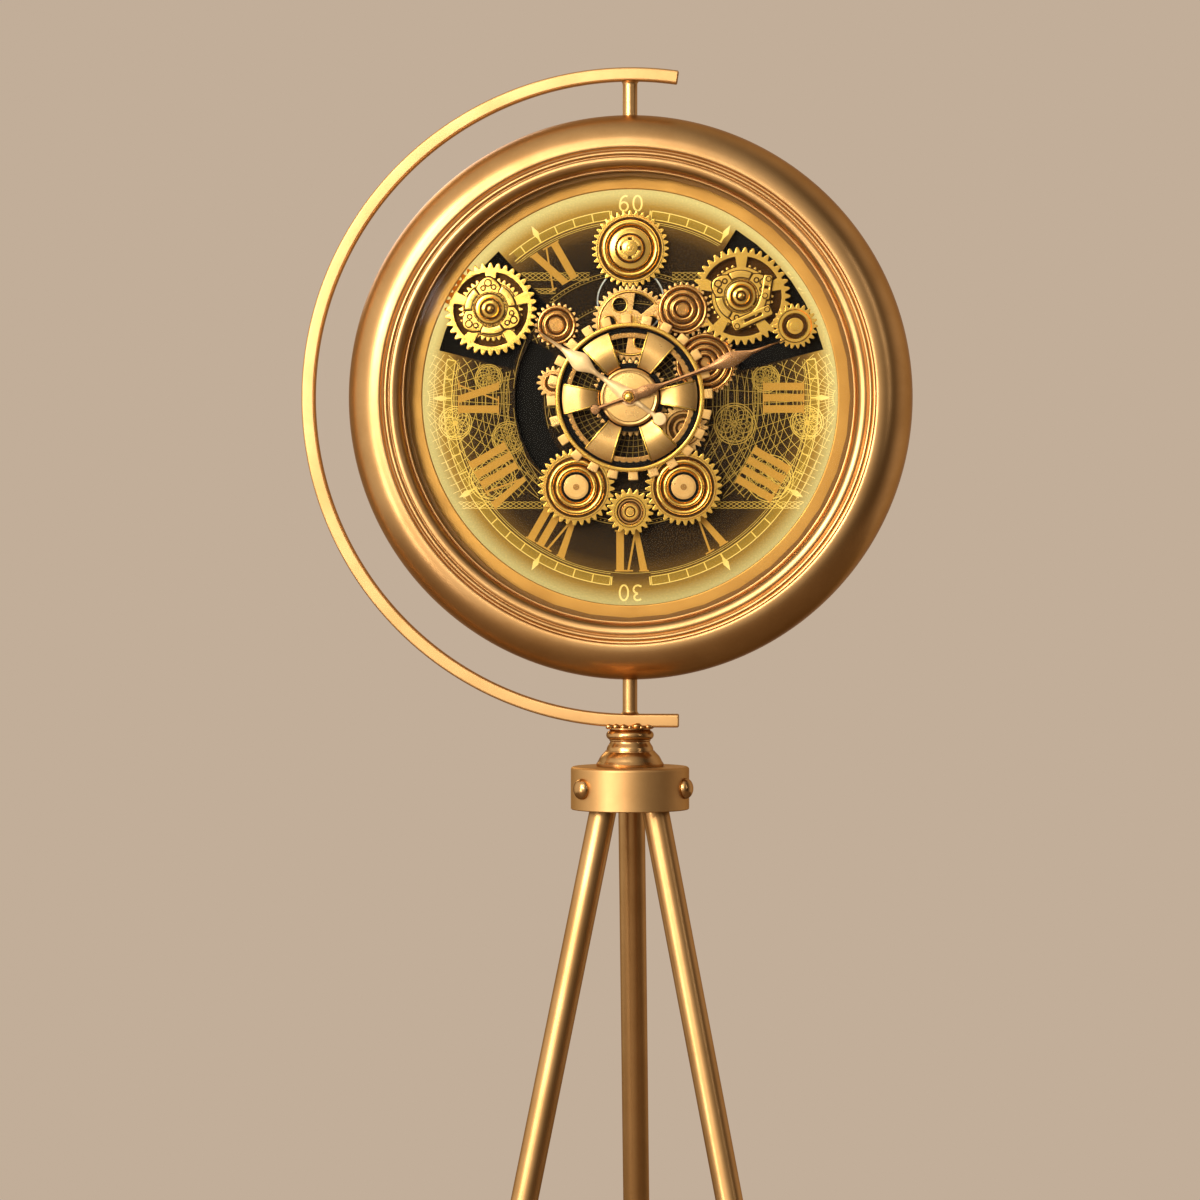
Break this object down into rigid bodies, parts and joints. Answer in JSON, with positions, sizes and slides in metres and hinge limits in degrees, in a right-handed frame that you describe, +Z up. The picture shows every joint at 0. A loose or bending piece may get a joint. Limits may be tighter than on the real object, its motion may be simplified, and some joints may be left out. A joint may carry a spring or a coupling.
{
  "type": "tripod floor clock",
  "caption": "Round skeleton clock with turning gears that swivels between two pins in a C-shaped arm on a three-legged metal stand.",
  "frame": {"origin": "on the floor, at the middle of the whole clock's box seen from above", "axes": "+Z up, -Y towards the viewer of the dial, +X to the viewer's right"},
  "size_m": [0.501, 0.3686, 1.5],
  "materials": {
    "antique_gold": "satin antique gold lacquer over steel",
    "polished_gold": "polished gold plating",
    "satin_gold": "satin gold plating",
    "copper_gold": "satin bronze plating",
    "black_paint": "matt black paint",
    "dial_paint": "satin dark brown paint with gold print",
    "rubber": "matt moulded rubber",
    "black_plastic": "moulded black plastic",
    "zinc_steel": "zinc plated steel",
    "bush_brass": "turned brass",
    "clear_glass": "clear float glass",
    "warm_light": "warm lit strip"
  },
  "bodies": {
    "stand": {"leg_front_left": "antique_gold", "leg_front_right": "antique_gold", "leg_rear": "antique_gold", "foot_front_left": "rubber", "foot_front_right": "rubber", "foot_rear": "rubber", "leg_hub": "black_paint", "hub_cover": "antique_gold", "cover_bolt_left": "antique_gold", "cover_bolt_right": "antique_gold", "cover_bolt_rear": "antique_gold", "neck": "antique_gold", "tie_bolt": "zinc_steel", "arm": "antique_gold", "lower_pin": "antique_gold", "upper_pin": "antique_gold"},
    "case": {"case_shell": "antique_gold", "back_cover": "black_paint", "back_cover_screw_1": "zinc_steel", "back_cover_screw_2": "zinc_steel", "back_cover_screw_3": "zinc_steel", "back_cover_screw_4": "zinc_steel", "upper_bush": "bush_brass", "lower_bush": "bush_brass", "front_glass": "clear_glass", "glass_gasket": "rubber", "liner_ring": "satin_gold", "led_strip": "warm_light", "dial_plate": "dial_paint", "movement_plate": "black_paint", "quartz_movement": "black_plastic", "movement_cell": "zinc_steel", "gear_motor": "zinc_steel", "battery_box": "black_plastic", "centre_bush": "bush_brass", "left_wheel": "polished_gold", "right_wheel": "polished_gold", "left_bridge": "polished_gold", "right_bridge": "polished_gold", "left_idler": "copper_gold", "right_idler": "polished_gold", "left_drum": "copper_gold", "right_drum_upper": "copper_gold", "right_drum_lower": "copper_gold"},
    "centre_wheel": {"centre_drive_gear": "polished_gold", "centre_gear": "polished_gold", "crown_ring": "polished_gold", "spoke_disc": "satin_gold"},
    "upper_idler_body": {"upper_idler": "satin_gold"},
    "top_gear_body": {"top_gear": "polished_gold"},
    "drive_pinion_body": {"drive_pinion": "satin_gold"},
    "lower_left_body": {"lower_left_gear": "polished_gold"},
    "lower_right_body": {"lower_right_gear": "polished_gold"},
    "lower_small_body": {"lower_small_gear": "copper_gold"},
    "hour_hand_body": {"hour_hand": "copper_gold"},
    "minute_hand_body": {"minute_hand": "copper_gold", "hand_nut": "polished_gold"},
    "setting_knob_body": {"setting_knob": "black_plastic"},
    "light_switch_body": {"light_switch": "black_plastic"}
  },
  "joints": [
    {"name": "case_swivel", "type": "hinge", "parent": "stand", "child": "case", "pos_m": [0.0195, -0.057, 1.23], "axis": [0, 0, 1], "continuous": true},
    {"name": "centre_wheel_spin", "type": "hinge", "parent": "case", "child": "centre_wheel", "pos_m": [0.0195, -0.057, 1.23], "axis": [0, 1, 0], "continuous": true},
    {"name": "upper_idler_spin", "type": "hinge", "parent": "case", "child": "upper_idler_body", "pos_m": [0.0195, -0.057, 1.2912], "axis": [0, 1, 0], "continuous": true},
    {"name": "top_gear_spin", "type": "hinge", "parent": "case", "child": "top_gear_body", "pos_m": [0.0195, -0.057, 1.3524], "axis": [0, 1, 0], "continuous": true},
    {"name": "drive_pinion_spin", "type": "hinge", "parent": "case", "child": "drive_pinion_body", "pos_m": [0.06293, -0.057, 1.20493], "axis": [0, 1, 0], "continuous": true},
    {"name": "lower_left_spin", "type": "hinge", "parent": "case", "child": "lower_left_body", "pos_m": [-0.02453, -0.057, 1.1567], "axis": [0, 1, 0], "continuous": true},
    {"name": "lower_right_spin", "type": "hinge", "parent": "case", "child": "lower_right_body", "pos_m": [0.06352, -0.057, 1.1567], "axis": [0, 1, 0], "continuous": true},
    {"name": "lower_small_spin", "type": "hinge", "parent": "case", "child": "lower_small_body", "pos_m": [0.0195, -0.057, 1.13647], "axis": [0, 1, 0], "continuous": true},
    {"name": "minute_hand_turn", "type": "hinge", "parent": "case", "child": "minute_hand_body", "pos_m": [0.0195, -0.057, 1.23], "axis": [0, 1, 0], "continuous": true},
    {"name": "hour_hand_turn", "type": "hinge", "parent": "case", "child": "hour_hand_body", "pos_m": [0.0195, -0.057, 1.23], "axis": [0, 1, 0], "continuous": true},
    {"name": "setting_knob_turn", "type": "hinge", "parent": "case", "child": "setting_knob_body", "pos_m": [0.0195, -0.0184, 1.24], "axis": [0, 1, 0], "continuous": true},
    {"name": "light_switch_slide", "type": "slide", "parent": "case", "child": "light_switch_body", "axis": [0, 0, -1], "range_m": [0, 0.004]}
  ],
  "couplings": [
    {"joint": "upper_idler_spin", "follows": "centre_wheel_spin", "ratio": -1},
    {"joint": "top_gear_spin", "follows": "centre_wheel_spin", "ratio": 1},
    {"joint": "drive_pinion_spin", "follows": "centre_wheel_spin", "ratio": -1.5652},
    {"joint": "lower_left_spin", "follows": "centre_wheel_spin", "ratio": -1.8125},
    {"joint": "lower_right_spin", "follows": "centre_wheel_spin", "ratio": -1.8125},
    {"joint": "lower_small_spin", "follows": "centre_wheel_spin", "ratio": 3.0526},
    {"joint": "hour_hand_turn", "follows": "minute_hand_turn", "ratio": 0.083333},
    {"joint": "setting_knob_turn", "follows": "minute_hand_turn", "ratio": 1}
  ]
}
